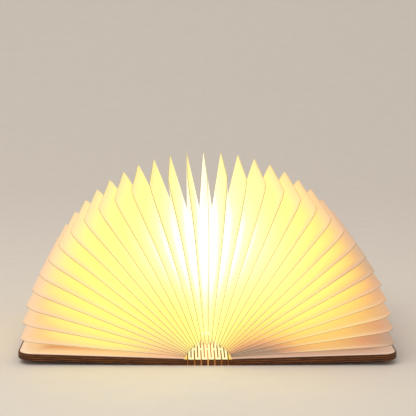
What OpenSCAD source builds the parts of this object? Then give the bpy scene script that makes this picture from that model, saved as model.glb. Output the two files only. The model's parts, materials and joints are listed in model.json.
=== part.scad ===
// Folding book lamp: two wooden covers on a slotted, bending spine, a fan of paper pages between
// them, and a slim battery light unit on the inside of the spine.
// Drawn standing open on a table: X across the two covers, Y along the spine with the far end
// at +Y, Z up, and the origin on the table under the middle of the spine.

/* [Covers] */
// Length of the book along its spine
book_l = 215; // [190:1:240]
// Width of one flat cover board
cover_w = 153.8; // [130:0.1:175]
// Thickness of the cover boards and of the spine
board_t = 5.8; // [5:0.1:6.4]
// Radius of the two outer corners of a cover board
cover_r = 13; // [4:0.5:25]
// Angle at which the open covers rise towards their outer edges
cover_rise = 1.8; // [1:0.1:2.5]
// Thickness of the paper lining on the inside of a cover
lining_t = 0.4; // [0.2:0.05:0.5]
// Distance of the lining from the cover's edges
lining_inset = 1.5; // [0.5:0.1:6]
// Plain wood between the spine and the lining
lining_start = 8; // [4:0.5:20]

/* [Spine] */
// Distance from one slot of the spine to the next
slot_pitch = 3.06; // [2.9:0.02:3.3]
// Width of a slot
slot_w = 1; // [0.9:0.05:1.1]
// Length of the wood left between two slots in a row
bridge_l = 6; // [4:0.5:10]
// Thickness of the thin wood that bends at a slot
web_t = 1.2; // [0.8:0.1:1.3]
// Gap in the middle of that thin wood, where the model bends
web_gap = 0.24; // [0.22:0.01:0.4]

/* [Pages] */
// Length of a page from its root to its outer edge
page_w = 153; // [140:0.5:160]
// Thickness of a closed page, two leaves together
page_t = 0.3; // [0.2:0.02:0.4]
// Radius of the outer corners of a page
page_r = 15; // [6:0.5:25]
// Distance of a page's ends inside the ends of the covers
page_inset = 1.2; // [0.5:0.1:4]
// Distance from page to page with the book shut
shut_pitch = 0.54; // [0.5:0.01:0.55]
// Angle from page to page on the left of the open book
left_step = 5.65; // [5:0.05:5.7]
// Mean angle from page to page on the right of the open book
right_step = 5.38; // [5:0.02:5.4]
// How much wider than that the steps are beside the upright page, and narrower beside the right cover
right_spread = 0.36; // [0:0.02:0.4]
// Height of the middle page's root above the table in the open book
root_z = 18.8; // [18:0.1:22]
// Radius of the curve that the page roots make in the shut book
root_curve = 15; // [12:0.5:30]
// Height of the first page's pivot with the book shut
pivot_z = -2.4; // [-4:0.05:-1.5]
// Climb from one page's pivot to the next
pivot_step = 1.6; // [1.4:0.01:1.61]
// Depth of the cut in the page roots over the light unit
root_cut = 6.4; // [6:0.1:12]
// Depth of the folds between two pages, from the page edges inwards
fold_depth = 53; // [30:1:60]
// Distance from a page's middle to the edge of the folded leaves beside it
leaf_gap = 0.5; // [0.45:0.05:0.8]

/* [Light unit] */
// Clearance between the light unit and the shut spine
unit_gap = 0.55; // [0.4:0.05:1]
// Wall of the light unit's housing and diffuser
unit_wall = 1; // [0.8:0.05:1.2]
// Place of the light unit's near end
unit_near = -52; // [-60:1:-40]
// Place of the light unit's far end, which holds the charging port
unit_far = 102; // [95:0.5:104]
// Height of the diffuser's crown above the housing's rim
crown_h = 2.6; // [1.8:0.1:3]
// Thickness of the two circuit boards
circuit_t = 1; // [0.8:0.1:1.2]
// Number of lamps on the light board
led_count = 14; // [6:1:24]
// Width, thickness and length of the battery
battery = [7.6, 4, 66];
// Diameter and thickness of a cover magnet
magnet = [8, 2];
// Distance of the magnets from the cover's outer edge
magnet_in = 11; // [8:0.5:30]

/* [Hidden] */
$fn = 64;
SLOTS = 6;           // slots that bend on each side of the spine
LEFT_PAGES = 15;     // pages left of the upright one
RIGHT_PAGES = 16;    // pages right of it
shut_turn = 15;      // turn of a spine strip against the next with the book shut
mid_z = board_t / 2; // height of the layer that bends without stretching
page_l = book_l - 2 * page_inset;
cover_x = SLOTS * slot_pitch; // middle of the last slot
bend_r = slot_pitch / 2 / sin(shut_turn / 2);
unit_z = mid_z + bend_r;      // height of the housing's rim, the middle of the shut spine
unit_r = bend_r * cos(shut_turn / 2) - mid_z - unit_gap;
unit_in = unit_r - unit_wall;
crown_r = (unit_r * unit_r + crown_h * crown_h) / (2 * crown_h);
crown_z = unit_z + crown_h - crown_r;
slot_zs = [-1, board_t + 1];
PAPER_ARC = 12;      // steps of a round corner cut in paper
ARC = 4;             // steps of a fold's line round a page corner
LINE = 2 * ARC + 4;  // points of a fold's line
fold_back = 3;       // how far a leaf's inner face lies behind its outer face, along the leaf
fine = 0.01;                  // overlap that keeps two joined shapes one solid

led_z = unit_z - 1.4;         // underside of the light board
led_size = [2.8, 3.5, 0.8];
led_end = unit_far - 10;      // far end of the light board
battery_z = unit_z - 5.8;     // underside of the battery
battery_y = unit_near + 12;
control = [8, 27];            // width and length of the control board
control_z = unit_z - 5.2;
control_y = unit_far - 3.2 - control[1];
port = [8.94, 3.2, 7.4];      // the charging port's width, height and length
port_wall = 0.3;
port_fit = 0.1;
sensor = [4, 3, 1.5];
screw_r = 0.8;
screw_head = [1.6, 1];        // radius and height of a screw's head
screw_ys = [0, book_l / 3];
screw_in = 3.2;               // depth of the screws in the spine
foot = [4.6, 0.8];            // width of the housing's foot and how far it stands in the housing
end_wall = 1.2;
pocket_fit = 0.05;
magnet_ys = [-1, 0, 1] * book_l / 3;

WOOD = "#5a3110";
PAPER = "#f3e3cf";
WHITE = "#f2f2ee";
BOARD = "#1f5a36";
STEEL = "#a9abad";

function page_name(n) = str("page_", n < 10 ? "0" : "", n);

// Where things are: a page is drawn upright at its place in the shut book, and each pivot
// between it and the upright page turns it outwards by one step. All this is for the right side.
// A fan is the mean step, the spread of the steps and the number of pages of one side.
function turn(p, c, a) = [c[0] + (p[0] - c[0]) * cos(a) + (p[1] - c[1]) * sin(a),
                          c[1] - (p[0] - c[0]) * sin(a) + (p[1] - c[1]) * cos(a)];
function pivot(j) = [shut_pitch * (j - 0.5), pivot_z + pivot_step * (j - 1)];
function fan_of(side) = side < 0 ? [left_step, 0, LEFT_PAGES] : [right_step, right_spread, RIGHT_PAGES];
function fan_step(j, fan) = fan[0] + fan[1] * cos(180 * (j - 0.5) / fan[2]);
function opened(p, j, fan) = j == 0 ? p : opened(turn(p, pivot(j), fan_step(j, fan)), j - 1, fan);
function root_rise(j) = root_curve - sqrt(root_curve * root_curve - pow(shut_pitch * j, 2));
// A point u from the root line and w off the middle of page j, in X and Z
function on_page(j, fan, u, w) = opened([shut_pitch * j + w, root_z + u], j, fan);
// The same for a point of the cover: u along from the root line, w above the lining's face
function on_cover(u, w) = let (top = board_t + lining_t)
    turn([page_reach() - page_w + u, top + w], [cover_x, mid_z], -cover_rise);
function page_reach() = cover_x + cover_w + slot_w / 2 - lining_inset;
// Bridges stand in line in every second slot, and halfway between those in the slots beside it
function bridge_ys(k) = k % 2 == 0
    ? [-1 / 3, 0, 1 / 3] * book_l
    : [-(book_l - bridge_l) / 2, -book_l / 6, book_l / 6, (book_l - bridge_l) / 2];

module right_or_left(side) {
    if (side < 0) mirror([1, 0, 0]) children();
    else children();
}

module bar(x0, x1, l, z0, z1) {
    translate([x0, -l / 2, z0]) cube([x1 - x0, l, z1 - z0]);
}

// Turns a flat shape in X and Z into a length from y0 to y1
module along(y0, y1) {
    translate([0, y1, 0]) rotate([90, 0, 0]) linear_extrude(y1 - y0) children();
}

// A sheet from x0 to x1 with two round corners at x1
module leaf_outline(x0, x1, l, r) {
    translate([x0, -l / 2]) square([x1 - x0 - r, l]);
    translate([x0, -l / 2 + r]) square([x1 - x0, l - 2 * r]);
    for (e = [-1, 1]) translate([x1 - r, e * (l / 2 - r)]) circle(r);
}

// The same outline for thin paper, as a polygon whose corners are worked out point by point
module paper_outline(x0, x1, l, r) {
    corner = [for (i = [0:PAPER_ARC]) 90 * i / PAPER_ARC];
    polygon(concat(
        [[x0, -l / 2]],
        [for (a = corner) [x1 - r + r * sin(a), -l / 2 + r - r * cos(a)]],
        [for (a = corner) [x1 - r + r * cos(a), l / 2 - r + r * sin(a)]],
        [[x0, l / 2]]));
}

// The halves of the thin bridges that slot k leaves on the wood beside it
module bridge_halves(k, from, to) {
    for (y = bridge_ys(k))
        translate([from, y - bridge_l / 2, mid_z - web_t / 2]) cube([to - from, bridge_l, web_t]);
}

module slot_edges(k, wood_right) {
    reach = (slot_w - web_gap) / 2;
    if (wood_right) bridge_halves(k, k * slot_pitch + slot_w / 2 - reach, k * slot_pitch + slot_w / 2 + fine);
    else bridge_halves(k, k * slot_pitch - slot_w / 2 - fine, k * slot_pitch - slot_w / 2 + reach);
}

module spine_core() color(WOOD) {
    half = slot_pitch - slot_w / 2;
    difference() {
        bar(-half, half, book_l, 0, board_t);
        difference() {
            bar(-slot_w / 2, slot_w / 2, book_l + 2, slot_zs[0], slot_zs[1]);
            for (y = bridge_ys(0)) translate([-slot_w, y - bridge_l / 2, slot_zs[0] - 1])
                cube([2 * slot_w, bridge_l, board_t + 4]);
        }
        for (y = screw_ys) translate([0, y, board_t - screw_in]) cylinder(r = screw_r, h = screw_in + 1);
    }
    for (side = [-1, 1]) right_or_left(side) slot_edges(1, false);
}

module strip(side, k) color(WOOD) right_or_left(side) {
    bar(k * slot_pitch + slot_w / 2, (k + 1) * slot_pitch - slot_w / 2, book_l, 0, board_t);
    slot_edges(k, true);
    slot_edges(k + 1, false);
}

module cover_place(side) {
    right_or_left(side) translate([cover_x, 0, mid_z]) rotate([0, -cover_rise, 0])
        translate([-cover_x, 0, -mid_z]) children();
}

module magnet_places() {
    for (y = magnet_ys)
        translate([cover_x + slot_w / 2 + cover_w - magnet_in, y, board_t - magnet[1]]) children();
}

module cover(side) color(WOOD) cover_place(side) {
    start = cover_x + slot_w / 2;
    difference() {
        linear_extrude(board_t) leaf_outline(start, start + cover_w, book_l, cover_r);
        magnet_places() cylinder(d = magnet[0] + 2 * pocket_fit, h = magnet[1] + 1);
    }
    slot_edges(SLOTS, true);
}

module lining(side) color(PAPER) cover_place(side) translate([0, 0, board_t])
    linear_extrude(lining_t) paper_outline(cover_x + slot_w / 2 + lining_start, page_reach(),
        book_l - 2 * lining_inset, cover_r - lining_inset);

module magnets(side) color(STEEL) cover_place(side)
    magnet_places() cylinder(d = magnet[0], h = magnet[1] - pocket_fit);

// Moves its children from page j's place in the shut book to its place in the open one
module open_page(j, fan, i = 1) {
    if (i > j) children();
    else translate([pivot(i)[0], 0, pivot(i)[1]]) rotate([0, fan_step(i, fan), 0])
        translate([-pivot(i)[0], 0, -pivot(i)[1]]) open_page(j, fan, i + 1) children();
}

// A page: two leaves bonded along the near, outer and far edges, cut back over the light unit
module page(n) {
    j = abs(n - LEFT_PAGES - 1);
    side = n <= LEFT_PAGES ? -1 : 1;
    color(PAPER) right_or_left(side) open_page(j, fan_of(side))
        translate([shut_pitch * j - page_t / 2, 0, root_z]) rotate([0, -90, 0]) mirror([0, 0, 1])
        linear_extrude(page_t) difference() {
            paper_outline(root_rise(j), page_w, page_l, page_r);
            translate([-1, unit_near - 2]) square([1 + root_cut, page_l]);
        }
}

// The folded leaves between two pages, seen along the page edges: a groove whose bottom lies
// fold_depth inside the edges. A point of an edge line at depth d is given by its number s.
function arc_r(d) = d < fold_depth / 2 ? max(page_r - d, 1) : fold_depth + fold_back + 3 - d;
function edge_point(s, d) = let (
        r = arc_r(d), u = page_w - d - r, v = page_l / 2 - d - r, far = s > ARC + 1,
        a = 90 / ARC * (far ? LINE - 2 - s : s - 1))
    s == 0 ? [3 + root_rise(RIGHT_PAGES), -v - r]
    : s == LINE - 1 ? [root_cut + 3, v + r]
    : [u + r * sin(a), (far ? 1 : -1) * (v + r * cos(a))];
// Page j or, past the last page, the cover
function beside(j, last, fan, u, w) = j > last
    ? on_cover(u, w + leaf_gap - page_t / 2) : on_page(j, fan, u, w);
function fold_ring(s, j, last, fan) = let (
        rims = [for (d = [page_t, page_t + fold_back]) edge_point(s, d)],
        floors = [for (d = [fold_depth, fold_depth + fold_back]) edge_point(s, d)],
        a = [for (e = rims) let (p = beside(j, last, fan, e[0], leaf_gap)) [p[0], e[1], p[1]]],
        b = [for (e = rims) let (p = beside(j + 1, last, fan, e[0], j == last ? 0 : -leaf_gap))
             [p[0], e[1], p[1]]],
        m = [for (e = floors) let (p = beside(j, last, fan, e[0], 0), q = beside(j + 1, last, fan, e[0], 0))
             [(p[0] + q[0]) / 2, e[1], (p[1] + q[1]) / 2]])
    [a[0], m[0], b[0], b[1], m[1], a[1]];

module fold(j, last, fan) {
    rings = [for (s = [0:LINE - 1]) fold_ring(s, j, last, fan)];
    cap = [[0, 1, 4], [0, 4, 5], [1, 2, 3], [1, 3, 4]];
    points = [for (ring = rings) for (p = ring) p];
    faces = concat(
        [for (s = [0:LINE - 2]) for (i = [0:5]) for (half = [0, 1])
            let (i2 = (i + 1) % 6, a = 6 * s + i, b = 6 * s + i2, c = a + 6, d = b + 6)
            i < 3 ? (half == 0 ? [a, b, d] : [a, d, c]) : half == 0 ? [a, b, c] : [b, d, c]],
        [for (f = cap) [f[0], f[2], f[1]]],
        [for (f = cap) [for (i = f) i + 6 * (LINE - 1)]]);
    polyhedron(points, faces, convexity = 4);
}

module folds(side) color(PAPER) right_or_left(side) {
    last = side < 0 ? LEFT_PAGES : RIGHT_PAGES;
    for (j = [0:last]) fold(j, last, fan_of(side));
}

module housing_shape(r) {
    intersection() {
        translate([0, unit_z]) circle(r);
        translate([-r, 0]) square([2 * r, unit_z]);
    }
}

module housing_base() color(WHITE) difference() {
    union() {
        along(unit_near, unit_far) housing_shape(unit_r);
        translate([-foot[0] / 2, unit_near, board_t])
            cube([foot[0], unit_far - unit_near, unit_z - unit_r + foot[1] - board_t]);
    }
    along(unit_near + end_wall, unit_far - end_wall) housing_shape(unit_in);
    along(unit_far - 2 * end_wall, unit_far + 1) port_shape(port_fit);
    for (y = screw_ys) translate([0, y, 0]) cylinder(r = screw_r, h = unit_z);
}

module crown_shape(r) {
    intersection() {
        translate([0, crown_z]) circle(r);
        translate([-unit_r, unit_z]) square([2 * unit_r, crown_h + 1]);
    }
}

module diffuser() color(WHITE) difference() {
    along(unit_near, unit_far) crown_shape(crown_r);
    along(unit_near + end_wall, unit_far - end_wall) crown_shape(crown_r - unit_wall);
}

module led_board() color(BOARD) {
    half = sqrt(unit_in * unit_in - pow(unit_z - led_z, 2)) - pocket_fit;
    translate([-half, unit_near + 2 * end_wall, led_z])
        cube([2 * half, led_end - unit_near - 2 * end_wall, circuit_t]);
}

module leds() color("#fff3b0") {
    step = (led_end - unit_near - 10) / led_count;
    for (i = [0:led_count - 1])
        translate([-led_size[0] / 2, unit_near + 6 + step * (i + 0.5) - led_size[1] / 2, led_z + circuit_t])
            cube(led_size);
}

module battery() color("#3f6fb5") translate([0, battery_y, battery_z + battery[1] / 2])
    rotate([-90, 0, 0]) linear_extrude(battery[2]) {
        r = battery[1] / 2;
        square([battery[0] - 2 * r, battery[1]], center = true);
        for (e = [-1, 1]) translate([e * (battery[0] / 2 - r), 0]) circle(r);
    }

module control_board() color(BOARD) {
    chip = [4, 4, 1.1];
    coil = [3, 1.8];
    translate([-control[0] / 2, control_y, control_z]) cube([control[0], control[1], circuit_t]);
    translate([-chip[0] / 2, control_y + 8, control_z + circuit_t - fine]) cube(chip);
    translate([0, control_y + 16, control_z + circuit_t - fine]) cylinder(d = coil[0], h = coil[1]);
}

// The charging port's rounded outline, seen from the far end
module port_shape(more) {
    r = port[1] / 2 + more;
    translate([0, control_z + circuit_t + port[1] / 2]) {
        square([port[0] - port[1], 2 * r], center = true);
        for (e = [-1, 1]) translate([e * (port[0] - port[1]) / 2, 0]) circle(r);
    }
}

module usb_port() color(STEEL) {
    tongue = [6.6, 0.7];
    difference() {
        along(unit_far - port[2], unit_far) port_shape(0);
        along(unit_far - port[2] + 1, unit_far + 1) port_shape(-port_wall);
    }
    translate([-tongue[0] / 2, unit_far - port[2] + 1 - fine, control_z + circuit_t + (port[1] - tongue[1]) / 2])
        cube([tongue[0], port[2] - 2, tongue[1]]);
}

module hall_sensor() color("#202022")
    translate([-sensor[0] / 2, control_y + 2, control_z + circuit_t]) cube(sensor);

module housing_screws() color(STEEL) {
    floor_z = unit_z - unit_in + 0.35;
    for (y = screw_ys) translate([0, y, 0]) {
        translate([0, 0, board_t - screw_in]) cylinder(r = screw_r, h = floor_z - board_t + screw_in);
        translate([0, 0, floor_z - fine]) cylinder(r = screw_head[0], h = screw_head[1]);
    }
}

spine_core();
cover(-1);  // left_cover
cover(1);  // right_cover
lining(-1);  // left_lining
lining(1);  // right_lining
magnets(-1);  // left_magnets
magnets(1);  // right_magnets
for (k = [1:SLOTS - 1]) {
    strip(-1, k);
    strip(1, k);
}
for (n = [1:LEFT_PAGES + 1 + RIGHT_PAGES])
    page(n);
folds(-1);  // left_folds
folds(1);  // right_folds
housing_base();
diffuser();
led_board();
leds();
battery();
control_board();
usb_port();
hall_sensor();
housing_screws();
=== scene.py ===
# %% [markdown]
# # A folding book lamp
#
# The lamp is a book that stands open on its spine. Two wooden covers are joined by
# a slotted wooden spine, and 32 paper pages spread between them, joined by folded leaves like a
# bellows. A slim battery light on the spine shines through the paper.
#
# The pieces below are made over that frame, at the same place and size. Each page sheet, cover
# board and lining sheet is told which body it rides on, so it moves with that body when the book is
# shut and opened.

import json
import math

import bpy
import numpy as np
from mathutils import Matrix


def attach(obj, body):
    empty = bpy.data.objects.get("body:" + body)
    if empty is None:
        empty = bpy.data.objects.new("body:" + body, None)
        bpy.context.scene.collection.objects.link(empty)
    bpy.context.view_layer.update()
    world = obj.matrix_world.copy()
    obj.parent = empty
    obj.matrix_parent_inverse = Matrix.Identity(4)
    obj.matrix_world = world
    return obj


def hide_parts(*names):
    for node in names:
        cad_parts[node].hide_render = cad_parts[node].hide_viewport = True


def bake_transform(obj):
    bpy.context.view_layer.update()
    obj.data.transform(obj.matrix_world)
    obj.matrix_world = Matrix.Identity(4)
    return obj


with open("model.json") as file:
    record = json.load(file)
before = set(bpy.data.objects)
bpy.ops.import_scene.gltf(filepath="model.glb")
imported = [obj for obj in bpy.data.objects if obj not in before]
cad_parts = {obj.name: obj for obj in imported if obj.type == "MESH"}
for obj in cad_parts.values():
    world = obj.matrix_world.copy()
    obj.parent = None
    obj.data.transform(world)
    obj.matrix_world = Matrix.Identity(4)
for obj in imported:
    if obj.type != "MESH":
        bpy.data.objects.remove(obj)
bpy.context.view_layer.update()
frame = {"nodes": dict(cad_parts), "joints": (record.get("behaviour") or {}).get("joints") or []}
hinge = {joint["name"]: joint for joint in frame["joints"]}
print("Nodes in the frame:", len(frame["nodes"]), "and joints:", len(hinge))

# %% [markdown]
# ## From numbers to meshes
#
# Each new piece is a surface worked out with numpy: points in rows and columns, where four
# neighbours make a face. Pushing a plane into shape by hand would also do, but a formula lands
# exactly on the sizes of the CAD model and is quick to change. Sizes are in millimetres, and `MM`
# turns them into Blender's metres. A mesh can also carry values for the shaders, such as how far
# out on its page a point lies.

# %% Helpers for meshes
MM = 0.001


def grid_faces(rows, columns, start=0):
    """Four-sided faces between neighbours of a grid whose points are numbered row by row: point p
    makes one with p + 1, with the point under that one and with the point under itself."""
    corner = start + np.arange(rows - 1)[:, None] * columns + np.arange(columns - 1)
    return np.stack([corner, corner + 1, corner + columns + 1, corner + columns], -1).reshape(-1, 4)


def make_mesh(name, points, faces, material, smooth=True, **values):
    """An object from points in millimetres and faces. Each further value is stored under its name
    on the points or, if there is one for each face, on the faces."""
    mesh = bpy.data.meshes.new(name)
    points = np.asarray(points, float).reshape(-1, 3)
    mesh.from_pydata((points * MM).tolist(), [], faces if isinstance(faces, list) else faces.tolist())
    for key, value in values.items():
        value = np.asarray(value, float)
        vector = value.ndim > 1 and value.shape[-1] == 3
        domain = "POINT" if len(value) == len(points) else "FACE"
        attribute = mesh.attributes.new(key, "FLOAT_VECTOR" if vector else "FLOAT", domain)
        attribute.data.foreach_set("vector" if vector else "value", value.ravel())
    mesh.polygons.foreach_set("use_smooth", [smooth] * len(mesh.polygons))
    mesh.materials.append(material)
    obj = bpy.data.objects.new(name, mesh)
    bpy.context.scene.collection.objects.link(obj)
    return obj


print("Faces in a grid of 3 by 4 points:", len(grid_faces(3, 4)))

# %% [markdown]
# Modifiers finish a piece without touching its points. Solidify gives a sheet its thickness,
# Subdivision Surface adds points so that it can bend smoothly, and Bevel softens sharp edges.

# %% A helper for modifiers
def modify(obj, kind, **settings):
    """Adds a live modifier and sets each of its properties that is named in the settings."""
    modifier = obj.modifiers.new(kind.title(), kind)
    for key, value in settings.items():
        setattr(modifier, key, value)


# %% [markdown]
# ## Where the pages stand
#
# Page 16 stands upright, and the others spread to both sides like the ribs of a fan. Each page
# could be turned by hand, but its angle is the sum of the steps before it, so a formula gives all
# of them. `side` is 1 for the right half and -1 for the left, and `j` counts the pages from the
# upright one. On the right, the steps are a little wider near the upright page than beside the
# cover.

# %% Numbers and angles of the pages
SIDE = {-1: "left", 1: "right"}
UPRIGHT = 16
# How many pages stand on each side of the upright one
LAST = {-1: 15, 1: 16}
# The turn from one page to the next, and what the widest step has more than that
MEAN_STEP = {-1: math.radians(5.65), 1: math.radians(5.38)}
SPREAD = {-1: 0.0, 1: math.radians(0.36)}


def page_number(side, j):
    """The number of the page that is j steps from the upright one."""
    return UPRIGHT + side * j


def page_body(side, j):
    """The name of that page's body in the frame."""
    return f"page_{page_number(side, j):02d}"


def page_angle(side, j):
    """A page's angle from upright: the sum of j steps. A step is the mean step plus the spread
    times a cosine that runs from 1 beside the upright page to -1 beside the cover."""
    fade = np.cos(math.pi * (np.arange(1, j + 1) - 0.5) / LAST[side])
    return float(np.sum(MEAN_STEP[side] + SPREAD[side] * fade))


for side in SIDE:
    print("The last page on the", SIDE[side], "leans by",
          round(math.degrees(page_angle(side, LAST[side])), 2), "degrees")

# %% [markdown]
# A place on a page is given by `u`, how far it lies from the line of the roots, by `y`, where it
# lies along the spine, and by `off`, how far it lies beside the page. The pivot of the page is
# read from the frame's joint, so the sheets stand where the CAD plates stand.

# %% Points on a page
# Height of the roots over the floor, and the distance between two pages of the shut book
ROOT_Z = 18.8
SHUT_PITCH = 0.54
# In the shut book: height of the first page's pivot, and the climb from one pivot to the next
PIVOT_Z, PIVOT_STEP = -2.4, 1.6


def directions(side, angle):
    """Two unit vectors for a page turned by an angle: out along the page, (sine, 0, cosine), and
    square to it, (cosine, 0, minus sine), away from the middle. On the left x is turned round."""
    out = np.array([side * math.sin(angle), 0, math.cos(angle)])
    off = np.array([side * math.cos(angle), 0, -math.sin(angle)])
    return out, off


def page_point(side, j, u, y, off=0.0):
    """Points of page j: its root plus u along the page, y along the spine and off beside it. The
    root lies half a pitch beside the pivot, and as far out as it stands above it when shut."""
    out, away = directions(side, page_angle(side, j))
    if j == 0:
        root = np.array([0, 0, ROOT_Z])
    else:
        pivot = np.array(hinge[page_body(side, j) + "_turn"]["pos_m"]) / MM
        root = pivot + away * SHUT_PITCH / 2 + out * (ROOT_Z - PIVOT_Z - PIVOT_STEP * (j - 1))
    u, y, off = np.broadcast_arrays(u, y, off)
    return root + u[..., None] * out + y[..., None] * np.array([0, 1, 0]) + off[..., None] * away


print("Root of the last page on the right:", page_point(1, LAST[1], 0.0, 0.0).round(2), "mm")

# %% [markdown]
# ## Paper is never quite flat
#
# Spun paper keeps slow waves, and the outer parts of the pages lean a little to the left. A
# texture could push the points about, but then the folded leaves would no longer meet the pages.
# One function gives the offset at any place on a page, so the sheets and the leaves share it. The
# last pages stay flat, because their leaves are glued to flat covers.

# %% Waves and lean of the paper
PAGE_W = 153.0
# How deep the folded leaves reach in from the edges of a page
FOLD_DEPTH = 53.0
# Heights of the two waves, and how far the edge of the upright page leans
SLOW_WAVE, QUICK_WAVE = 0.025, 0.015
LEAN = 1.8


def wave(side, j, u, y):
    """How far the paper lies beside the flat page: two sine waves that grow with the square of u,
    less a lean. The lean grows from the depth of the folds to the edge, with its share of that way
    to the power 1.2, and gets evenly smaller from the upright page outwards."""
    if j == LAST[side]:
        return 0 * u * y
    seed = page_number(side, j) * 1.7
    uneven = SLOW_WAVE * np.sin(y / 17 + seed) + QUICK_WAVE * np.sin(y / 9 + u / 23 + 2 * seed)
    outer = np.clip((u - PAGE_W + FOLD_DEPTH) / FOLD_DEPTH, 0, 1)
    lean = LEAN * (1 - j / LAST[-1]) * outer**1.2
    return side * (uneven * (u / PAGE_W) ** 2 - lean)


print("The upright page leans at its edge by", round(float(wave(1, 0, PAGE_W, 0.0)), 2), "mm")

# %% [markdown]
# ## Colours
#
# Shaders take linear colours, while the numbers that a screen shows are encoded. The values could
# be typed in as linear ones, but screen values from 0 to 255 are easier to read and to compare
# with a render, so this helper turns them into linear ones.

# %% A helper for colours
def colour(red, green, blue):
    """A screen colour as a linear one: divided by 12.92 where it is dark, otherwise the power 2.4."""
    channels = np.array([red, green, blue]) / 255
    linear = np.where(channels <= 0.04045, channels / 12.92, ((channels + 0.055) / 1.055) ** 2.4)
    return (*linear.tolist(), 1.0)


print("A screen value of 128 is", round(colour(128, 128, 128)[0], 3), "in a shader")

# %% [markdown]
# ## Short calls for shader nodes
#
# A material is a tree of nodes: patterns and sums on the left, the shader on the right. Writing
# out each node, its settings and its links makes long code, so this class adds a node, fills its
# inputs with numbers or with other nodes' outputs, and returns its output for the next call.

# %% A helper for node trees
class Nodes:
    """Short calls for building one node tree."""

    def __init__(self, tree):
        self.tree = tree

    def fill(self, node, inputs):
        """Links an output to each input, or sets its value. Inputs are given by name or number."""
        for key, value in inputs.items():
            if isinstance(value, bpy.types.NodeSocket):
                self.tree.links.new(value, node.inputs[key])
            else:
                node.inputs[key].default_value = value

    def add(self, kind, output=0, inputs=(), **settings):
        """Adds a node and returns one of its outputs."""
        node = self.tree.nodes.new(kind)
        for key, value in settings.items():
            setattr(node, key, value)
        self.fill(node, dict(inputs))
        return node.outputs[output]

    def math(self, operation, a, b=0.0, c=0.0):
        """One step of arithmetic with up to three numbers."""
        return self.add("ShaderNodeMath", inputs={0: a, 1: b, 2: c}, operation=operation)

    def attribute(self, name, vector=False):
        """A value that is stored on the mesh."""
        return self.add("ShaderNodeAttribute", "Vector" if vector else "Fac", attribute_name=name)

    def between(self, value, low, high, to_low=0.0, to_high=1.0, smooth=True):
        """Takes a value from low..high to to_low..to_high and holds it at the ends."""
        ends = {"Value": value, "From Min": low, "From Max": high, "To Min": to_low, "To Max": to_high}
        way = "SMOOTHSTEP" if smooth else "LINEAR"
        return self.add("ShaderNodeMapRange", inputs=ends, interpolation_type=way)

    def mix(self, share, a, b, blend="MIX"):
        """A colour between a and b."""
        return self.add("ShaderNodeMix", 2, {0: share, 6: a, 7: b}, data_type="RGBA", blend_type=blend)

    def ramp(self, value, *stops):
        """A colour for each value, blended between stops of (position, colour)."""
        output = self.add("ShaderNodeValToRGB", inputs={"Fac": value})
        elements = output.node.color_ramp.elements
        elements[0].position, elements[0].color = stops[0]
        elements[1].position, elements[1].color = stops[-1]
        for position, tint in stops[1:-1]:
            elements.new(position).color = tint
        return output

    def noise(self, vector, scale, detail=2.0, stretch=(1, 1, 1)):
        """Random clouds. A small number in stretch draws them out along that axis."""
        moved = self.add("ShaderNodeMapping", inputs={"Vector": vector, "Scale": stretch})
        cloud = {"Vector": moved, "Scale": scale, "Detail": detail}
        return self.add("ShaderNodeTexNoise", inputs=cloud)

    def bump(self, height, strength, distance):
        """A normal that makes a height pattern look raised."""
        relief = {"Height": height, "Strength": strength, "Distance": distance}
        return self.add("ShaderNodeBump", inputs=relief)

    def group(self, group, inputs):
        """Places a node group and returns its outputs."""
        node = self.tree.nodes.new("ShaderNodeGroup")
        node.node_tree = group
        self.fill(node, inputs)
        return node.outputs


# %% [markdown]
# A node group is a tree with inputs and outputs of its own, which several materials can place.
# Its sockets belong to the group's interface. A new material comes with a Principled shader, the
# one that suits nearly every solid surface.

# %% Helpers for groups and materials
def new_group(name, inputs, outputs):
    """A node group with these sockets: the group, its Nodes helper, its inputs, its output node."""
    group = bpy.data.node_groups.new(name, "ShaderNodeTree")
    for direction, sockets in (("INPUT", inputs), ("OUTPUT", outputs)):
        for socket, kind in sockets.items():
            group.interface.new_socket(socket, in_out=direction, socket_type="NodeSocket" + kind)
    entry, out = group.nodes.new("NodeGroupInput"), group.nodes.new("NodeGroupOutput")
    return group, Nodes(group), entry.outputs, out


def new_material(name):
    """A material, the Nodes helper of its tree, and its Principled shader."""
    material = bpy.data.materials.new(name)
    material.use_nodes = True
    print("New material:", name)
    return material, Nodes(material.node_tree), material.node_tree.nodes["Principled BSDF"]


# %% [markdown]
# ## Paper that glows
#
# On the real lamp light passes through many layers of paper. Letting Blender trace that would take
# long and stay noisy. Instead the paper gives off light of its own, and a formula says how bright
# it is at each place. The formula reads values stored on the points: `turn`, the page's place in
# the fan (-1 on the left to 1 on the right), `out`, the distance from the root (0 to 1), and
# `leaf`, which runs over a groove from -1 at the edge of its inner page over 0 at the bottom to 1
# at the edge of its outer page.

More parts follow.
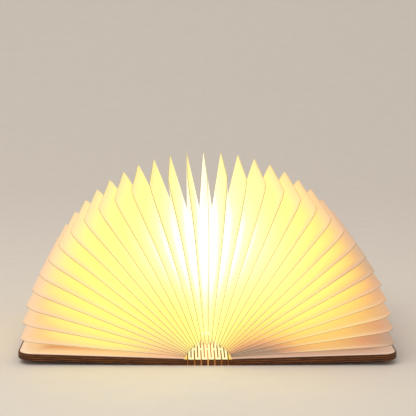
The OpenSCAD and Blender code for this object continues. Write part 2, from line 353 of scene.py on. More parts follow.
# %% How bright the paper is
def light_level(n, turn, away, leaf):
    """A level from about 0 to 1: a straight fall from the middle to the sides, less a share at the
    tips and at the roots and on the low right, plus more at the bottom of a groove, plus a share
    for the leaf that faces the light."""
    aside = n.math("ABSOLUTE", turn)
    centre = n.between(aside, 0.05, 1.0, 1.0, 0.0, smooth=False)
    level = n.math("MULTIPLY_ADD", centre, 0.62, 0.33)
    tips = n.math("MULTIPLY", n.between(away, 0.52, 1.08), n.between(aside, 0.0, 0.9, 0.22, 0.27))
    at_root, root_share = n.between(away, 0.05, 0.5, 1.0, 0.0), n.between(aside, 0.2, 1.0, 0.22, 0.3)
    low_right = n.between(turn, 0.64, 1.0, -0.04, 0.16)
    for share in (tips, n.math("MULTIPLY", at_root, root_share), low_right):
        level = n.math("SUBTRACT", level, share)
    groove = n.between(n.math("ABSOLUTE", leaf), 0.0, 1.0, 0.06, -0.13, smooth=False)
    facing = n.between(n.between(turn, 0.6, 0.9), 0.0, 1.0, -1.25, 1.2, smooth=False)
    facing = n.math("MULTIPLY", n.math("MULTIPLY", leaf, 0.13), facing)
    facing = n.math("MULTIPLY", facing, n.between(away, 0.1, 0.9, 0.4, 1.4))
    return n.math("ADD", n.math("ADD", level, groove), facing)


# %% [markdown]
# Paper that is dimly lit looks tan, then yellow, and nearly white where it is brightest. A colour
# ramp does that, and the right half gets a ramp of its own, because it looks more orange there.
# Fine fibres change the result a little. All kinds of paper here share this, so it is a group.

# %% The group for the paper's glow
def build_glow_group():
    """The colour of the paper's light: the ramp colour of the level, times the fibres."""
    group, n, entry, out = new_group("Paper Glow", {"Fibres": "Float"}, {"Glow": "Color"})
    turn = n.attribute("turn")
    level = light_level(n, turn, n.attribute("out"), n.attribute("leaf"))
    bright = [(0.8, colour(236, 234, 150)), (0.98, colour(255, 255, 240))]
    left_tint = n.ramp(
        level, (0.0, colour(202, 156, 114)), (0.16, colour(216, 188, 114)),
        (0.34, colour(222, 205, 106)), (0.56, colour(224, 214, 112)), *bright)
    right_tint = n.ramp(
        level, (0.0, colour(132, 104, 86)), (0.13, colour(192, 134, 90)),
        (0.26, colour(220, 180, 94)), (0.44, colour(223, 206, 106)), *bright)
    tint = n.mix(n.between(turn, -0.1, 0.3), left_tint, right_tint)
    speckle = n.between(entry["Fibres"], 0.25, 0.75, 0.95, 1.0, smooth=False)
    grey = n.add("ShaderNodeCombineXYZ", inputs={0: speckle, 1: speckle, 2: speckle})
    n.fill(out, {"Glow": n.mix(1.0, tint, grey, "MULTIPLY")})
    return group


glow_group = build_glow_group()
print("Nodes in the glow group:", len(glow_group.nodes))

# %% [markdown]
# Three papers place the group: the folded leaves, the pages, which lie behind them and glow a bit
# less as painted shade, and the bonded seam along their edges, where the layers are pressed
# together and a darker colour with a weaker glow paints the shade on the edges.

# %% Leaf, page and seam paper
def build_paper(name, base, strength):
    """Spun paper: a pale surface with fine random fibres, which gives off the lamp's light."""
    material, n, shader = new_material(name)
    fibres = n.noise(n.attribute("rest", vector=True), 900, 3, (1, 0.35, 1))
    n.fill(shader, {
        "Base Color": base, "Roughness": 0.75, "Specular IOR Level": 0.2,
        "Emission Color": n.group(glow_group, {"Fibres": fibres})["Glow"],
        "Emission Strength": strength, "Normal": n.bump(fibres, 0.12, 0.0004)})
    return material


# Leaf and page paper are one paper with a painted glow, weaker on the pages as painted shade. The
# seam's darker colour and weak glow paint the shade along the edges.
leaf_paper = build_paper("Leaf Paper", colour(186, 174, 158), 0.94)
page_paper = build_paper("Page Paper", colour(186, 174, 158), 0.8)
seam_shade_paper = build_paper("Shaded Bonded Seam", colour(136, 122, 80), 0.4)

# %% [markdown]
# ## Pages
#
# A page is a sheet with two round corners. A plane cut along a curve would need a clean-up of its
# faces, so the sheet is a surface of two parameters instead: one runs across the page along the
# spine, the other from the root to the outer edge. Close to the outer edge the rows get shorter
# along a quarter circle, which rounds the corners. Over the light unit the root is cut back, with
# a smooth step.

# %% The surface of a page
PAGE_L, PAGE_R = 212.6, 15.0
# Radius of the arc that the roots make in the shut book
ROOT_CURVE = 15.0
# How far the roots are cut back over the light unit, and where along the spine the unit starts
ROOT_CUT = 6.4
UNIT_NEAR = -52.0
# How far before the unit the step of the cut starts, and how long it is
CUT_EARLY, CUT_RAMP = 3, 2


def root_rise(j):
    """How far a root lies behind the root line: the roots of the shut book make an arc, so it is
    the arc's radius less the root of the radius squared less the way from the middle squared."""
    return ROOT_CURVE - math.sqrt(ROOT_CURVE**2 - (SHUT_PITCH * j) ** 2)


def page_surface(side, j, straight_rows=14, corner_rows=8, columns=41):
    """Points of a page, and their u. In the corner rows, an angle runs to 90 degrees: u grows with
    its sine, and the row gets shorter by the radius times one less its cosine. All rows then start
    from the root, which steps back by the smooth curve t * t * (3 - 2 * t) over the light unit."""
    straight = np.linspace(0, 1, straight_rows)
    corner = np.arange(1, corner_rows + 1) / corner_rows * math.pi / 2
    flat = PAGE_W - PAGE_R
    share = np.concatenate([straight * flat, flat + PAGE_R * np.sin(corner)])
    inward = np.concatenate([0 * straight, PAGE_R * (1 - np.cos(corner))])
    y = np.linspace(-1, 1, columns) * (PAGE_L / 2 - inward)[:, None]
    t = np.clip((y - UNIT_NEAR + CUT_EARLY) / CUT_RAMP, 0, 1)
    start = root_rise(j) + (ROOT_CUT - root_rise(j)) * t * t * (3 - 2 * t)
    u = start + (PAGE_W - start) * share[:, None] / PAGE_W
    return page_point(side, j, u, y, wave(side, j, u, y)), u


print("Points in a page:", page_surface(1, 1)[1].size)

# %% [markdown]
# Each sheet takes the place of its CAD plate and rides on the same body. Solidify gives it its
# thickness and puts the seam's paper, with its painted shade, on the rim that it adds.

# %% The 32 sheets
PAGE_T = 0.3


def build_page(side, j):
    """One sheet, which rides on its page's body."""
    points, u = page_surface(side, j)
    body = page_body(side, j)
    page = make_mesh(
        body.title() + "_sheet", points, grid_faces(*u.shape), page_paper,
        turn=np.full(u.size, side * j / LAST[1]), out=u.ravel() / PAGE_W, leaf=np.ones(u.size),
        rest=points.reshape(-1, 3) * MM,
    )
    page.data.materials.append(seam_shade_paper)
    modify(page, "SOLIDIFY", thickness=PAGE_T * MM, offset=0, material_offset_rim=1)
    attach(page, body)
    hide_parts(body)
    return page


left_pages = [build_page(-1, j) for j in range(1, LAST[-1] + 1)]
right_pages = [build_page(1, j) for j in range(LAST[1] + 1)]
print("Pages:", len(left_pages) + len(right_pages))

# %% [markdown]
# ## Folded leaves
#
# Between two pages the leaves make a deep groove that runs round three sides. A leaf starts at the
# edge of one page and meets the leaf of the next one in the middle between them, 53 mm further in.
# Both lines, the rim and the bottom, follow the page's outline at their own depth, so one function
# draws both.

# %% Lines along a page's edges
def edge_path(depth, r, near_root, far_root, straight=14, corner=6, outer=9):
    """u and y of a line that follows a page's edges at a depth inside them: in along the near edge,
    round a corner of radius r, along the outer edge, round the other corner and back."""
    cu, cy = PAGE_W - depth - r, PAGE_L / 2 - depth - r
    angle = np.linspace(0, math.pi / 2, corner + 1)[1:-1]
    u = np.concatenate([
        np.linspace(near_root, cu, straight), cu + r * np.sin(angle), np.full(outer, cu + r),
        cu + r * np.cos(angle), np.linspace(cu, far_root, straight)])
    y = np.concatenate([
        np.full(straight, -cy - r), -cy - r * np.cos(angle), np.linspace(-cy, cy, outer),
        cy + r * np.sin(angle), np.full(straight, cy + r)])
    return u, y


# How far the rim lies inside the page's edge, and the corner radius of the bottom line
RIM_IN, BOTTOM_R = 0.3, 6.0
# How far from the root both lines start on the near side, and end on the far side
FROM_ROOT = (0.8, 1)


def leaf_lines(j, rim_start, bottom_start):
    """The two lines of a leaf: its rim close to the page's edge, and the bottom of the groove. A
    start is a pair: how far in from the root the line starts on the near side, and ends on the far
    side, where the root is cut back."""
    starts = [(root_rise(j) + near, ROOT_CUT + far) for near, far in (rim_start, bottom_start)]
    rim = edge_path(RIM_IN, PAGE_R - RIM_IN, *starts[0])
    return rim, edge_path(FOLD_DEPTH, BOTTOM_R, *starts[1])


print("Points along the rim of a leaf:", len(leaf_lines(1, FROM_ROOT, FROM_ROOT)[0][0]))

# %% [markdown]
# Each groove is one object between its two pages. A row of points lies on the rim of each page,
# and the bottom of the groove lies in the middle between them.

# %% The 31 grooves between pages
LEAF_T = 0.1


def build_groove(side, j):
    """The two leaves between page j - 1 and page j: straight lines from each page's rim to the
    bottom line, which is the mean of the same line on both pages. A rim lies a little more than
    half of both thicknesses beside the middle of its page."""
    (u_rim, y_rim), (u_low, y_low) = leaf_lines(j, FROM_ROOT, FROM_ROOT)
    gap = PAGE_T / 2 + LEAF_T * 0.6
    rim_a = page_point(side, j - 1, u_rim, y_rim, gap + wave(side, j - 1, u_rim, y_rim))
    rim_b = page_point(side, j, u_rim, y_rim, -gap + wave(side, j, u_rim, y_rim))
    low = (page_point(side, j - 1, u_low, y_low) + page_point(side, j, u_low, y_low)) / 2
    columns = len(u_rim)
    points = np.stack([rim_a, low, low, rim_b])
    faces = np.concatenate([grid_faces(2, columns), grid_faces(2, columns, 2 * columns)])
    inner, outer = page_body(side, j - 1), page_body(side, j)
    groove = make_mesh(
        f"Groove_{inner[-2:]}_{outer[-2:]}", points, faces[:, ::side], leaf_paper,
        turn=np.ones(4 * columns) * side * (j - 0.5) / LAST[1],
        out=np.concatenate([u_rim, u_low, u_low, u_rim]) / PAGE_W,
        leaf=np.repeat([-1.0, 0.0, 0.0, 1.0], columns), rest=points.reshape(-1, 3) * MM,
    )
    # The leaves' rims get the seam paper with its painted shade too.
    groove.data.materials.append(seam_shade_paper)
    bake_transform(groove)
    modify(groove, "SUBSURF", subdivision_type="SIMPLE", levels=2, render_levels=2)
    modify(groove, "SOLIDIFY", thickness=LEAF_T * MM, offset=0, material_offset_rim=1)
    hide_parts(SIDE[side] + "_folds")
    return groove


grooves = [build_groove(side, j) for side in SIDE for j in range(1, LAST[side] + 1)]
print("Grooves:", len(grooves))

# %% [markdown]
# ## Points on the covers
#
# The open covers rise a little towards their outer edges, because the spine isn't bent quite
# flat. Turning each finished piece would leave it with a rotation, so a function turns the points
# instead: pieces of the cover are drawn flat and then turned about the last slot.

# %% The turn of the open covers
# Distance between the slots of the spine, and their width
PITCH, SLOT_W = 3.06, 1.0
# How far the last slot and the outer edge of a cover lie from the middle of the spine
LAST_SLOT = 6 * PITCH
COVER_END = LAST_SLOT + SLOT_W / 2 + 153.8
BOARD_T, RISE = 5.8, math.radians(1.8)


def cover_point(side, x, y, z):
    """Points of the flat cover turned up by the rise: beyond the last slot, the way from it is
    multiplied by the cosine and the sine of the rise."""
    x, y, z = np.broadcast_arrays(x, y, z)
    turned = x > LAST_SLOT
    dx, dz = x - LAST_SLOT, z - BOARD_T / 2
    new_x = np.where(turned, LAST_SLOT + dx * math.cos(RISE) - dz * math.sin(RISE), x)
    new_z = np.where(turned, BOARD_T / 2 + dx * math.sin(RISE) + dz * math.cos(RISE), z)
    return np.stack([side * new_x, y, new_z], -1)


print("Outer edge of the right cover:", cover_point(1, COVER_END, 0.0, 0.0).round(2), "mm")

# %% [markdown]
# ## End leaves
#
# The last page has only one leaf on its outer side, glued to the lining of the cover. Page and
# cover share no joint. The cover and the bending part of the spine turn against each other by half
# of the cover's turn, and the page turns a little less than the cover, so in a bend between those
# two it would keep a small share of the bend.

# %% Where the last page lies in the bend
def place_in_blend(side):
    """The last page's place t in the blend, from 0 at its start to 1 at its end. A point's share
    of the bend is t * t * (3 - 2 * t), and the page needs its own angle less half the turn,
    divided by half the turn."""
    half_turn = (math.pi / 2 - RISE) / 2
    share = page_angle(side, LAST[side]) / half_turn - 1
    t = np.linspace(0, 1, 100001)
    return float(np.interp(share, t * t * (3 - 2 * t), t))


for side in SIDE:
    print("The last page on the", SIDE[side], "lies at", round(place_in_blend(side), 4))

# %% [markdown]
# The leaf runs from the rim of the last page down to a line just above the lining.

# %% The two end leaves
# How far the lining ends inside the board's edge, how high its top is, and the leaf above that
LINING_INSET, LINING_TOP = 1.5, BOARD_T + 0.4
ABOVE_LINING = 0.1
# Between the last page and its end leaf, so that they stay apart in the shut book
END_GAP = {-1: 0.25, 1: 0.4}


def build_end_leaf(side):
    """One leaf: straight lines from the rim of the last page down to a line on the lining."""
    j = LAST[side]
    (u_rim, y_rim), (u_low, y_low) = leaf_lines(j, FROM_ROOT, (3, 3))
    gap = PAGE_T / 2 + END_GAP[side]
    rim = page_point(side, j, u_rim, y_rim, gap)
    x_low = COVER_END - LINING_INSET - PAGE_W + u_low
    low = cover_point(side, x_low, y_low, LINING_TOP + ABOVE_LINING)
    points, columns = np.stack([rim, low]), len(u_rim)
    leaf = make_mesh(
        SIDE[side].title() + "_end_leaf", points, grid_faces(2, columns)[:, ::side], leaf_paper,
        turn=np.ones(2 * columns) * side, out=np.concatenate([u_rim, u_low]) / PAGE_W,
        leaf=np.repeat([-1.0, 0.0], columns), rest=points.reshape(-1, 3) * MM,
    )
    plane = page_point(side, j, 0.0, 0.0, gap)
    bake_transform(leaf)
    modify(leaf, "SUBSURF", subdivision_type="SIMPLE", levels=2, render_levels=2)
    modify(leaf, "SOLIDIFY", thickness=LEAF_T * MM, offset=0)
    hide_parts(SIDE[side] + "_folds")


for side in SIDE:
    build_end_leaf(side)

# %% [markdown]
# ## Wood
#
# Covers and spine are boards of thin layers with walnut on both faces. The faces show a stretched
# grain, and the rims show the layers as thin lines. An image of wood would slide when the spine
# bends. This pattern is worked out from `rest`, a place stored on the points, so it stays with
# the wood.

# %% Walnut faces and layered rims
# Distance between the lines on the rims, in metres as in every shader
LAYER_T = 0.0019


def wood_colour(n, place, height, fine):
    """Walnut on the two faces and thin lines in between. The grain is the sum of two stretched
    noises, and the lines are the sine of the height, moved up and down by a slow noise."""
    coarse = n.noise(place, 60, 4, (1, 0.06, 0.2))
    grain = n.math("MULTIPLY_ADD", fine, 0.45, n.math("MULTIPLY", coarse, 0.75))
    veneer = n.ramp(
        grain, (0.3, colour(56, 28, 10)), (0.5, colour(88, 48, 20)), (0.62, colour(108, 64, 28)),
        (0.8, colour(138, 88, 46)))
    slow = n.math("SUBTRACT", n.noise(place, 24, 2, (1, 1, 3)), 0.5)
    moved = n.math("ADD", height, n.math("MULTIPLY", slow, 0.0016))
    layer = n.math("SINE", n.math("MULTIPLY", moved, 2 * math.pi / LAYER_T))
    flecks = n.between(n.noise(place, 90, 3, (1, 1, 9)), 0.3, 0.6, 0.25, 1.0)
    lines = n.math("MULTIPLY", n.between(layer, -0.1, 0.9), flecks)
    rim = n.mix(lines, colour(60, 25, 4), colour(138, 82, 30))
    inside = n.math("MINIMUM", height, n.math("SUBTRACT", BOARD_T * MM, height))
    return n.mix(n.between(inside, 0.0001, 0.0004), veneer, rim)


# %% [markdown]
# The wood around the slots is lit from very near. Tracing the small lamps through the slots would
# be noisy, so `lit`, a value on the faces, says how much light falls there: 0 outside and 1 right
# beside the light unit. A ramp turns it into a colour, as for the paper.

# %% The walnut material
def build_walnut():
    """Walnut with the lamp's light where it falls on the wood."""
    material, n, shader = new_material("Walnut")
    place = n.attribute("rest", vector=True)
    height = n.add("ShaderNodeSeparateXYZ", 2, {0: place})
    fine = n.noise(place, 420, 3, (1, 0.05, 1))
    light = n.ramp(
        n.attribute("lit"), (0.0, (0, 0, 0, 1)), (0.4, colour(150, 84, 26)),
        (0.6, colour(236, 176, 84)), (0.8, colour(250, 230, 110)), (1.0, colour(255, 252, 190)))
    n.fill(shader, {
        "Base Color": wood_colour(n, place, height, fine), "Roughness": 0.5,
        "Specular IOR Level": 0.25, "Emission Color": light, "Emission Strength": 1.0,
        "Normal": n.bump(fine, 0.25, 0.0002)})
    return material


walnut = build_walnut()

# %% [markdown]
# ## Cover boards
#
# A cover is a flat board with two round corners and sanded edges. A box with a Bevel modifier
# would round all its corners alike. Here a small profile is carried along the outline instead, so
# that the outline has large corners and the profile has small ones.

# %% Outline and profile
BOOK_L, COVER_R = 215.0, 13.0
# How far from the middle of the spine its bending part ends and the stiff boards start
BEND_END = 22.06


def board_outline(start, end, half, r, steps=10):
    """x, y and the outward unit normals along an outline that is open towards the spine: out along
    the near edge, round a corner of radius r, along the outer edge, round the other and back."""
    angle = np.linspace(0, math.pi / 2, steps + 1)
    cx, cy = end - r, half - r
    x = np.concatenate([[start], cx + r * np.sin(angle), cx + r * np.cos(angle), [start]])
    y = np.concatenate([[-half], -cy - r * np.cos(angle), cy + r * np.sin(angle), [half]])
    nx = np.concatenate([[0], np.sin(angle), np.cos(angle), [0]])
    ny = np.concatenate([[-1], -np.cos(angle), np.sin(angle), [1]])
    return x, y, nx, ny


def slab_grid(outline, low, high, rounding):
    """x, y and z of the wall of a flat piece: the outline moved inwards by a profile of two quarter
    circles, whose inset is the rounding times one less the sine, and then one less the cosine."""
    x, y, nx, ny = outline
    angle = np.linspace(0, math.pi / 2, 5)
    inset = rounding * np.concatenate([1 - np.sin(angle), 1 - np.cos(angle)])
    z = np.concatenate([low + rounding * (1 - np.cos(angle)), high - rounding * (1 - np.sin(angle))])
    return np.broadcast_arrays(x - inset[:, None] * nx, y - inset[:, None] * ny, z[:, None])


cover_outline = board_outline(BEND_END, COVER_END, BOOK_L / 2, COVER_R)
print("Points round a cover:", len(cover_outline[0]))

# %% [markdown]
# The grid gives the wall. Three flat faces close the piece: the bottom, the top and the end
# towards the spine. The bottom is the first row of points, the top the last row, and the end joins
# the first column to the last.

# %% The two boards
EDGE_ROUNDING = 0.45


def build_slab(side, name, grid, material):
    """A closed flat piece on a cover: the wall of the grid and three flat faces."""
    px, py, pz = grid
    rows, columns = px.shape
    number = np.arange(px.size).reshape(rows, columns)
    faces = grid_faces(rows, columns)[:, ::-1].tolist()
    faces += [number[0].tolist(), number[-1, ::-1].tolist()]
    faces.append(number[:, 0].tolist() + number[::-1, -1].tolist())
    slab = make_mesh(
        name, cover_point(side, px, py, pz), [face[::side] for face in faces], material,
        rest=np.stack([side * px, py, pz], -1).reshape(-1, 3) * MM, lit=np.zeros(px.size))
    slab.data.set_sharp_from_angle(angle=math.radians(30))
    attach(slab, SIDE[side] + "_cover")
    return slab


for side in SIDE:
    grid = slab_grid(cover_outline, 0.0, BOARD_T, EDGE_ROUNDING)
    board = build_slab(side, SIDE[side].title() + "_board", grid, walnut)
    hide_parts(SIDE[side] + "_cover")
    print(board.name, "is", round(board.dimensions.x / MM, 1), "mm wide")

# %% [markdown]
# ## Lining paper
#
# The inside of a cover is lined with pale paper. At its edge it gets light from outside. Further
# in it lies in the shade of the pages, and the light that comes through them colours it salmon.
# Layers of thin paper would have to be traced for that, so the colour comes from the distance to
# the edge of the lining and to the spine.

# %% The lining material
# How far the lining reaches from the middle of the spine, in metres
LINING_REACH = 0.1713


def build_lining():
    """Painted light and shade: pale near the edges and darker further in, with a glow that is
    salmon in the shade, greyer near the spine and darker on the right. The distance to the edge is
    the smaller of the distances to the outer edge and to the ends."""
    material, n, shader = new_material("Lining Paper")
    place = n.attribute("rest", vector=True)
    split = n.add("ShaderNodeSeparateXYZ", inputs={0: place}).node.outputs
    x, y = n.math("ABSOLUTE", split[0]), n.math("ABSOLUTE", split[1])
    to_end = n.math("SUBTRACT", BOOK_L / 2 * MM, y)
    edge = n.math("MINIMUM", n.math("SUBTRACT", LINING_REACH, x), to_end)
    shade = n.mix(n.between(x, 0.02, 0.075), colour(116, 92, 84), colour(182, 112, 78))
    shade = n.mix(n.between(x, 0.1, 0.16), shade, colour(146, 98, 74))
    shade = n.mix(n.between(split[0], -0.02, 0.12), shade, colour(96, 74, 58))
    base = n.mix(n.between(edge, 0.01, 0.03), colour(212, 192, 174), colour(170, 136, 108))
    warm = n.mix(n.between(edge, 0.012, 0.034), colour(150, 126, 110), shade)
    n.fill(shader, {
        "Base Color": base, "Roughness": 0.8, "Normal": n.bump(n.noise(place, 700, 3), 0.1, 0.0003),
        "Emission Color": warm, "Emission Strength": 1.0})
    return material


lining_paper = build_lining()

# %% [markdown]
# The sheets use the outline and the profile of the boards again, 1.5 mm further in. They reach
# 0.02 mm into the wood, so that no gap shows under them.

# %% The two lining sheets
LINING_START = 20.6
SUNK, LINING_ROUNDING = 0.02, 0.1

for side in SIDE:
    outline = board_outline(
        LINING_START, COVER_END - LINING_INSET, BOOK_L / 2 - LINING_INSET, COVER_R - LINING_INSET)
    grid = slab_grid(outline, BOARD_T - SUNK, LINING_TOP, LINING_ROUNDING)
    sheet = build_slab(side, SIDE[side].title() + "_lining_sheet", grid, lining_paper)
    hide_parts(SIDE[side] + "_lining")
    print(sheet.name, "is", round(sheet.dimensions.y / MM, 1), "mm long")

# %% [markdown]
# ## The slotted spine
#
# A laser cuts rows of slots into the middle of the board, so that it bends like cloth. Wood stays
# where the bridges are: in every second row they stand at the same places, and in the rows between
# they stand halfway. Cutting boxes out of a board with Boolean modifiers would leave long thin
# faces that bend badly. Here a table of cells says where wood is.

# %% The table of wooden cells
BRIDGE_L = 6.0


def bridge_rows(k):
    """The y ranges of the wood that slot k leaves: at thirds of the length in even slots, and at
    the ends and at sixths in odd ones."""
    if k % 2 == 0:
        middles = np.array([-1 / 3, 0, 1 / 3]) * BOOK_L
    else:
        last = (BOOK_L - BRIDGE_L) / 2
        middles = np.array([-last, -BOOK_L / 6, BOOK_L / 6, last])
    return np.stack([middles - BRIDGE_L / 2, middles + BRIDGE_L / 2], 1)


def slotted_board(start, end, slots):
    """x lines, y lines and the table of wooden cells between two x values. A cell has no wood if
    its middle is less than half a slot from a slot's middle and in none of its bridges."""
    edges = [k * PITCH + half * SLOT_W / 2 for k in slots for half in (-1, 1)]
    xs = np.unique(np.clip(np.round([start, end, *edges], 6), start, end))
    lines = [*bridge_rows(0).ravel(), *bridge_rows(1).ravel(), -BOOK_L / 2, BOOK_L / 2]
    ys = np.unique(np.round(lines, 6))
    cx, cy = (xs[1:] + xs[:-1]) / 2, (ys[1:] + ys[:-1]) / 2
    wood = np.ones((len(cx), len(cy)), bool)
    for k in slots:
        rows = bridge_rows(k)
        bridged = ((cy[:, None] > rows[:, 0]) & (cy[:, None] < rows[:, 1])).any(1)
        wood &= ~((np.abs(cx - k * PITCH) < SLOT_W / 2)[:, None] & ~bridged)
    return xs, ys, wood


print("Cells around slot 1:", slotted_board(0.5 * PITCH, 1.5 * PITCH, [1])[2].size)

# %% [markdown]
# A wall stands between a cell with wood and a neighbour without. Shifting the table by one cell
# and comparing finds all of them at once, in both directions along x and along y. Only the walls
# that show are made, so the piece stays light.

# %% Faces of the cells
def cell_faces(xs, ys, wood):
    """Faces of the wooden cells: a bottom and a top for each, then the walls. The points of the
    top are numbered after those of the bottom."""
    index = np.arange(len(xs) * len(ys)).reshape(len(xs), len(ys))
    top = index.size
    i, j = np.nonzero(wood)
    flat = np.stack([index[i, j], index[i + 1, j], index[i + 1, j + 1], index[i, j + 1]], 1)
    faces = [flat[:, ::-1], flat + top]
    padded = np.pad(wood, 1)
    pairs = [(padded[:-1, 1:-1], padded[1:, 1:-1]), (padded[1:-1, :-1], padded[1:-1, 1:])]
    for along, (before, after) in enumerate(pairs):
        for wall, outwards in ((before & ~after, 1), (~before & after, -1)):
            i, j = np.nonzero(wall)
            a = index[i, j]
            b = index[i, j + 1] if along == 0 else index[i + 1, j]
            quad = np.stack([a, b, b + top, a + top], 1)
            faces.append(quad if (along == 0) == (outwards > 0) else quad[:, ::-1])
    return np.concatenate(faces)


print("Faces around slot 1:", len(cell_faces(*slotted_board(0.5 * PITCH, 1.5 * PITCH, [1]))))

# %% [markdown]
# The lamp lights the tops of the strips, and less so the walls of the slots. Each face gets one
# value, from its own middle, because a value on the points would blend from a top into a wall.

# %% Lamp light on the faces
# How far beyond the last slot the light ends, and over which distance it fades out
LIT_END, LIT_FADE = 3.2, 1.5
# Light on a slot's wall in the middle of the spine, and what it loses in a millimetre
WALL_LIGHT, WALL_FALL = 0.54, 0.018
# Places closer together than this count as the same
CLOSE = 0.01


def lamp_on_faces(flat, faces):
    """How much lamp light each face gets: 1 on tops, a value that falls with x on the walls of
    slots, and 0 outside. All of it fades out beyond the last slot."""
    middle, extent = flat[faces].mean(1), np.ptp(flat[faces], axis=1)
    is_top = middle[:, 2] > BOARD_T - CLOSE
    outside = (np.abs(middle[:, 1]) > BOOK_L / 2 - CLOSE) | (middle[:, 2] < CLOSE)
    near = np.clip((LAST_SLOT + LIT_END - middle[:, 0]) / LIT_FADE, 0, 1)
    walls = WALL_LIGHT - WALL_FALL * middle[:, 0]
    return np.where(is_top, 1.0, np.where(outside | (extent[:, 2] < CLOSE), 0.0, walls)) * near


# %% [markdown]
# Four pieces make the spine, an inner and an outer one on each side. The inner ones reach from the
# spine's middle to halfway between two slots, and the outer ones from there to the stiff board of
# the cover.

# %% The four pieces of the spine
# An inner piece meets the outer one halfway between two slots
JOIN = 3.5 * PITCH
SPINE_BEVEL = 0.1
STRIPS = {"inner": [1, 2, 3], "outer": [4, 5]}


def blend_lattice(part):
    """Moves the piece's transform into its points."""
    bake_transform(part)


def build_lattice(side, place):
    """One of the four pieces: the table's faces between the lines, at the bottom and at the top."""
    start, end, slots = (0.0, JOIN, range(0, 4)) if place == "inner" else (JOIN, BEND_END, range(4, 7))
    xs, ys, wood = slotted_board(start, end, slots)
    faces = cell_faces(xs, ys, wood)
    x, y = np.meshgrid(xs, ys, indexing="ij")
    layers = [np.stack([x, y, np.full_like(x, z)], -1).reshape(-1, 3) for z in (0.0, BOARD_T)]
    flat = np.concatenate(layers)
    part = make_mesh(
        f"{SIDE[side].title()}_lattice_{place}", cover_point(side, *flat.T), faces[:, ::side], walnut,
        smooth=False, rest=flat * np.array([side, 1, 1]) * MM, lit=lamp_on_faces(flat, faces))
    blend_lattice(part)
    modify(part, "BEVEL", width=SPINE_BEVEL * MM, segments=1, limit_method="ANGLE",
           angle_limit=math.radians(40))
    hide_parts(*[f"{SIDE[side]}_strip_{k}" for k in STRIPS[place]])
    print(part.name, "has", int(wood.sum()), "cells of wood")
    return part


lattices = {(side, place): build_lattice(side, place) for side in SIDE for place in STRIPS}
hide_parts("spine_core")

# %% [markdown]
# ## Light unit and small pieces
#
# The light unit, its boards and screws and the magnets keep their CAD shapes and only get
# finishes. One plain colour would look like a drawing, because no moulded, plated or wrapped
# surface is quite even, so each finish has slight spots in its colour, roughness and height.

# %% A finish for small pieces
def build_plain(name, base, roughness, metallic=0.0, glow=None, grain=300, darker=0.93):
    """A finish with slight spots. `glow` is a colour and a strength for pieces that give light, or for
    a painted glow on a piece that the lamp lights from inside.
    """
    material, n, shader = new_material(name)
    spots = n.noise(n.add("ShaderNodeTexCoord", "Object"), grain, 3)
    dark = (*[darker * channel for channel in base[:3]], 1.0)
    light, strength = glow or ((0, 0, 0, 1), 0.0)
    n.fill(shader, {
        "Base Color": n.mix(n.between(spots, 0.3, 0.7), base, dark), "Metallic": metallic,
        "Roughness": n.between(spots, 0.3, 0.7, roughness * 0.85, roughness * 1.15),
        "Normal": n.bump(spots, 0.05, 0.0002), "Emission Color": light,
        "Emission Strength": strength})
    return material


# The housing plastic gets a painted warm glow from the lamp inside it; the diffuser and the chips give
# the light.
housing = build_plain("Housing Plastic", colour(238, 236, 228), 0.45, glow=(colour(235, 200, 110), 0.5))
diffuser = build_plain("Diffuser", colour(250, 246, 230), 0.5, glow=(colour(255, 246, 200), 2.2))
chips = build_plain("Lamp Chips", colour(250, 220, 90), 0.3, glow=(colour(255, 246, 190), 5.0))
board_green = build_plain("Circuit Board", colour(36, 120, 66), 0.4)
nickel = build_plain("Magnet Nickel", colour(206, 202, 194), 0.22, metallic=1.0)

# %% [markdown]
# A CAD node's mesh stays as it is. Only its list of materials is emptied and filled again.

# %% Finishes on the CAD pieces
finishes = {
    "housing_base": housing, "diffuser": diffuser, "leds": chips,
    "led_board": board_green, "control_board": board_green,
    "battery": build_plain("Battery Wrap", colour(60, 130, 190), 0.25),
    "usb_port": build_plain("Port Steel", colour(196, 198, 200), 0.3, metallic=1.0),
    "housing_screws": build_plain("Screw Steel", colour(186, 188, 190), 0.35, metallic=1.0),
    "hall_sensor": build_plain("Sensor", colour(26, 26, 28), 0.4),
    "left_magnets": nickel, "right_magnets": nickel,
}
for node, material in finishes.items():
    materials = frame["nodes"][node].data.materials
    materials.clear()
    materials.append(material)
print("Pieces that keep their CAD shape:", len(finishes))

# %% [markdown]
# ## Floor
#
# The book stands on a plain pale floor that curves up behind it, as in a photo studio. A flat
# floor would end at a visible line.

# %% The floor
# The floor's front edge, half of its width, its upper edge, and where and how it curves up
FLOOR_FRONT, FLOOR_HALF, FLOOR_TOP = -4000, 5000, 4000
CURVE_START, CURVE_R = 900, 1500


def build_floor():
    """A strip that runs level, then up along a quarter circle, whose points go back with the sine
    of an angle and up with one less its cosine, and then straight up."""
    angle = np.linspace(0, math.pi / 2, 25)
    y = np.concatenate([[FLOOR_FRONT], CURVE_START + CURVE_R * np.sin(angle), [CURVE_START + CURVE_R]])
    z = np.concatenate([[0], CURVE_R * (1 - np.cos(angle)), [FLOOR_TOP]])
    sides = np.array([-FLOOR_HALF, FLOOR_HALF])[:, None]
    points = np.stack(np.broadcast_arrays(sides, y, z), -1)
    pale = build_plain("Floor", colour(236, 226, 214), 0.7, grain=40, darker=0.99)
    floor = make_mesh("Floor", points, grid_faces(2, len(y))[:, ::-1], pale)
    return floor


print("Faces in the floor:", len(build_floor().data.polygons))

# %% [markdown]
# ## Light
#
# One large lamp above and to the left gives soft shadows, as a window does. A small one would
# draw hard edges on the paper.

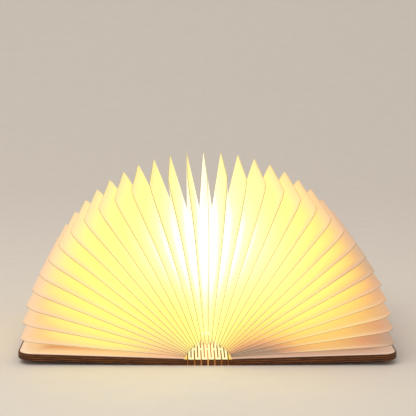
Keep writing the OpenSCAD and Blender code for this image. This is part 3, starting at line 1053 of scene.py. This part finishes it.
# %% The soft lamp
def build_light(name, place, size, watts, tint):
    """A square lamp of the given size in metres that looks at the book."""
    data = bpy.data.lights.new(name, "AREA")
    data.size, data.energy, data.color = size, watts, tint
    light = bpy.data.objects.new(name, data)
    bpy.context.scene.collection.objects.link(light)
    light.location = place
    light.rotation_euler = (-light.location).to_track_quat("-Z", "Y").to_euler()
    print(name, "gives", watts, "watts")


build_light("Soft_top", (-0.7, -0.8, 1.7), 1.6, 15, (1.0, 0.98, 0.95))

# %% [markdown]
# The rest of the light comes evenly from all around. Seen straight on or in a mirror, the
# surrounding is full white. A stronger world would give that too, but it would also wash out the
# book, so only rays from the camera and rays off shiny or clear surfaces see the white.

# %% The surrounding
# How bright the surrounding is for the book, as a share of full white
AROUND = 0.55

scene = bpy.context.scene
scene.world = bpy.data.worlds.new("World")
scene.world.use_nodes = True
n = Nodes(scene.world.node_tree)
rays = n.add("ShaderNodeLightPath").node.outputs
mirrored = n.math("MAXIMUM", rays["Is Glossy Ray"], rays["Is Transmission Ray"])
seen = n.math("MAXIMUM", rays["Is Camera Ray"], mirrored)
surrounding = n.mix(seen, (AROUND, AROUND, AROUND, 1), (1, 1, 1, 1))
n.fill(n.tree.nodes["Background"], {"Color": surrounding, "Strength": 1.0})
print("The surrounding gives", AROUND, "of full white")

# %% [markdown]
# ## Camera
#
# The camera stands where the photograph was taken from. It could be set by eye, but its place,
# direction and focal length were fitted to the corners of the pages and covers, which shows
# small errors in the shapes. `TURNS` are three turns in degrees, about the camera's own axes.

# %% The camera
PLACE = (-0.0258, -1.2789, 0.3277)
TURNS = [(-1.212, "Z"), (90 - 8.898, "X"), (0.369, "Z")]
FOCAL_LENGTH, SENSOR = 115.64, 36

lens = bpy.data.cameras.new("Camera")
lens.lens, lens.sensor_width = FOCAL_LENGTH, SENSOR
lens.clip_start, lens.clip_end = 0.05, 30
camera = bpy.data.objects.new("Camera", lens)
scene.collection.objects.link(camera)
stand = Matrix.Translation(PLACE)
for degrees, axis in TURNS:
    stand = stand @ Matrix.Rotation(math.radians(degrees), 4, axis)
camera.matrix_world = stand
scene.camera = camera
scene.view_settings.view_transform = "Standard"
print("The camera stands", round(stand.translation.length, 2), "m from the book")
